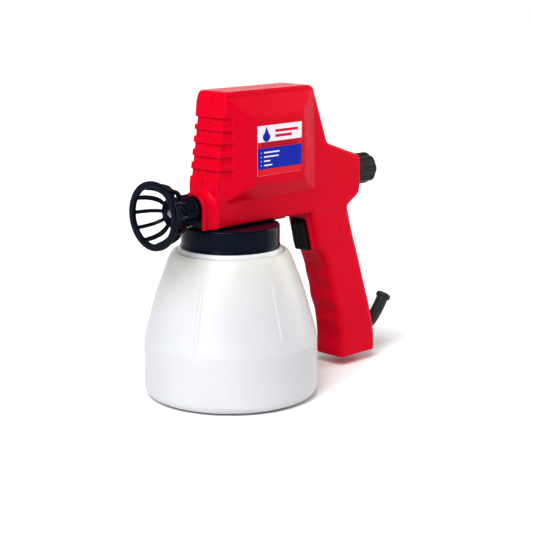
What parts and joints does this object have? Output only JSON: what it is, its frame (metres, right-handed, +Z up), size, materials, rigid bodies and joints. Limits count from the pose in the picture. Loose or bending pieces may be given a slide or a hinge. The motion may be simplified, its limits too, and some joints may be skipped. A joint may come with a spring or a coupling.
{
  "type": "electromagnetic paint spray gun",
  "caption": "Hand-held electric paint sprayer with a pistol grip, slotted nozzle guard, rear flow knob and a wide translucent screw-on paint container.",
  "frame": {"origin": "on the floor, at the centre of the container's flat base", "axes": "+Z up, -Y the spray direction, +Y towards the grip, +X the gun's left side"},
  "size_m": [0.12, 0.2383, 0.211],
  "materials": {
    "red_plastic": "satin moulded, saturated red",
    "black_plastic": "glossy moulded black",
    "rubber": "matt black rubber",
    "steel": "bright zinc",
    "iron": "laminated transformer steel",
    "brass": "turned",
    "copper": "enamelled copper wire",
    "milky_plastic": "natural translucent polyethylene",
    "nylon": "natural nylon",
    "label": "printed film, white red and blue bands"
  },
  "bodies": {
    "gun": {"housing_left": "red_plastic", "housing_right": "red_plastic", "housing_screw_1": "steel", "housing_screw_2": "steel", "housing_screw_3": "steel", "housing_screw_4": "steel", "housing_screw_5": "steel", "housing_screw_6": "steel", "housing_screw_7": "steel", "rating_label": "label", "pump_body": "black_plastic", "pump_cylinder": "steel", "piston_spring": "steel", "valve_seat": "brass", "valve_spring": "steel", "return_hose": "nylon", "magnet_core": "iron", "core_rivet_1": "steel", "core_rivet_2": "steel", "coil_bobbin": "nylon", "coil_winding": "copper", "armature_pin": "steel", "screw_nut": "brass", "trigger_pin": "steel", "trigger_spring": "steel", "micro_switch": "black_plastic", "cord_clamp": "black_plastic", "cord_clamp_screw_1": "steel", "cord_clamp_screw_2": "steel", "cord_boot": "rubber"},
    "nozzle": {"nozzle_tip": "brass"},
    "nozzle_cap": {"nozzle_nut": "black_plastic", "nozzle_guard": "black_plastic"},
    "valve": {"outlet_valve": "nylon"},
    "armature": {"armature": "iron", "armature_pad": "nylon"},
    "piston": {"piston": "steel"},
    "flow_screw": {"adjusting_screw": "steel"},
    "flow_knob": {"control_knob": "black_plastic"},
    "trigger": {"trigger": "black_plastic"},
    "plunger": {"switch_plunger": "rubber"},
    "seal": {"container_gasket": "nylon"},
    "container": {"container": "milky_plastic"},
    "suction": {"suction_tube": "nylon", "suction_filter": "nylon"}
  },
  "joints": [
    {"name": "trigger_pull", "type": "hinge", "parent": "gun", "child": "trigger", "pos_m": [0, 0.072, 0.1165], "axis": [1, 0, 0], "range_deg": [0, 8], "stiffness_Nm_per_rad": 0.5, "springref_deg": -17.19, "deforming": ["trigger_spring"]},
    {"name": "switch_press", "type": "slide", "parent": "gun", "child": "plunger", "axis": [0, 1, 0], "range_m": [0, 0.0019]},
    {"name": "knob_turn", "type": "hinge", "parent": "flow_screw", "child": "flow_knob", "pos_m": [0, 0.13, 0.1436], "axis": [0, 1, 0], "range_deg": [0, 724]},
    {"name": "screw_feed", "type": "slide", "parent": "gun", "child": "flow_screw", "axis": [0, 1, 0], "range_m": [0, 0.0025]},
    {"name": "armature_swing", "type": "hinge", "parent": "gun", "child": "armature", "pos_m": [0, 0.0555, 0.2026], "axis": [-1, 0, 0], "range_deg": [0, 2.5], "stiffness_Nm_per_rad": 2, "springref_deg": -5.73},
    {"name": "piston_stroke", "type": "slide", "parent": "gun", "child": "piston", "axis": [0, -1, 0], "range_m": [0, 0.0032], "deforming": ["piston_spring"]},
    {"name": "valve_lift", "type": "slide", "parent": "gun", "child": "valve", "axis": [0, -1, 0], "range_m": [0, 0.0008], "stiffness_N_per_m": 300, "springref_m": -0.003, "deforming": ["valve_spring"]},
    {"name": "nozzle_feed", "type": "slide", "parent": "gun", "child": "nozzle", "axis": [0, -1, 0], "range_m": [0, 0.006]},
    {"name": "nozzle_nut_turn", "type": "hinge", "parent": "nozzle", "child": "nozzle_cap", "pos_m": [0, -0.045, 0.1334], "axis": [0, -1, 0], "range_deg": [0, 1444]},
    {"name": "container_drop", "type": "slide", "parent": "gun", "child": "seal", "axis": [0, 0, -1], "range_m": [0, 0.0151]},
    {"name": "container_turn", "type": "hinge", "parent": "seal", "child": "container", "pos_m": [0, 0, 0.05], "axis": [0, 0, -1], "range_deg": [0, 900]},
    {"name": "suction_swivel", "type": "hinge", "parent": "gun", "child": "suction", "pos_m": [0, 0.006, 0.118], "axis": [0, 0, 1], "range_deg": [-90, 90]}
  ],
  "couplings": [
    {"joint": "switch_press", "follows": "trigger_pull", "m_per_rad": 0.0125},
    {"joint": "knob_turn", "follows": "screw_feed", "rad_per_m": 5026.5},
    {"joint": "piston_stroke", "follows": "armature_swing", "m_per_rad": 0.0692},
    {"joint": "nozzle_nut_turn", "follows": "nozzle_feed", "rad_per_m": 4188.8},
    {"joint": "container_drop", "follows": "container_turn", "m_per_rad": 0.00095493}
  ]
}
